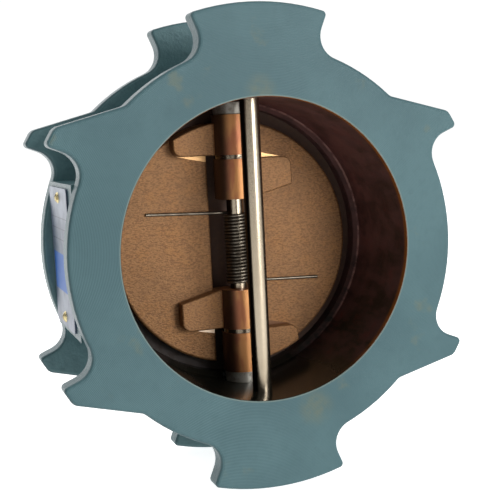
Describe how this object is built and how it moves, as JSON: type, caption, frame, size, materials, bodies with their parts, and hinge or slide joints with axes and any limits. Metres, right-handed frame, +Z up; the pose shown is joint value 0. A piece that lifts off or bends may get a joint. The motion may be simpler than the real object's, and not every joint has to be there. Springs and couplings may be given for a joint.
{
  "type": "wafer check valve",
  "caption": "Wafer-pattern dual-plate check valve: slotted cast body clamped between pipe flanges, two sprung D-shaped plates on a hinge pin, stopped by a second pin.",
  "frame": {"origin": "on the flow axis, half way between the two end faces", "axes": "+Z up along the hinge and stop pins, -Y out of the outlet face, +Y out of the inlet face, +X to the right seen from the outlet side; the nameplate is on the -X side"},
  "size_m": [0.2296, 0.095, 0.262],
  "materials": {
    "painted_iron": "teal-grey paint on cast iron, rusty bare bore",
    "bronze": "sand-cast bronze, dull and grainy",
    "stainless": "ground stainless bar",
    "spring_steel": "drawn stainless wire",
    "grey_steel": "turned grey steel",
    "seat_rubber": "black nitrile rubber",
    "gasket_fibre": "fibre gasket",
    "plug_steel": "plated steel",
    "plate_aluminium": "satin aluminium sheet",
    "screw_brass": "worn plated brass"
  },
  "bodies": {
    "valve_body": {"body": "painted_iron", "seat_ring": "seat_rubber", "hinge_pin": "stainless", "stop_pin": "stainless", "torsion_spring": "spring_steel", "nameplate": "plate_aluminium", "upper_hinge_spacer": "grey_steel", "upper_knuckle_washer": "grey_steel", "upper_nameplate_screw": "screw_brass", "upper_hinge_plug": "plug_steel", "upper_hinge_plug_gasket": "gasket_fibre", "upper_stop_plug": "plug_steel", "upper_stop_plug_gasket": "gasket_fibre", "lower_hinge_spacer": "grey_steel", "lower_knuckle_washer": "grey_steel", "lower_nameplate_screw": "screw_brass", "lower_hinge_plug": "plug_steel", "lower_hinge_plug_gasket": "gasket_fibre", "lower_stop_plug": "plug_steel", "lower_stop_plug_gasket": "gasket_fibre"},
    "left_leaf": {"left_plate": "bronze"},
    "right_leaf": {"right_plate": "bronze"}
  },
  "joints": [
    {"name": "left_plate_hinge", "type": "hinge", "parent": "valve_body", "child": "left_leaf", "pos_m": [0, 0.0095, 0], "axis": [0, 0, 1], "range_deg": [0, 76], "stiffness_Nm_per_rad": 0.35, "springref_deg": -28.65, "deforming": ["torsion_spring"]},
    {"name": "right_plate_hinge", "type": "hinge", "parent": "valve_body", "child": "right_leaf", "pos_m": [0, 0.0095, 0], "axis": [0, 0, -1], "range_deg": [0, 76], "stiffness_Nm_per_rad": 0.35, "springref_deg": -28.65, "deforming": ["torsion_spring"]}
  ]
}
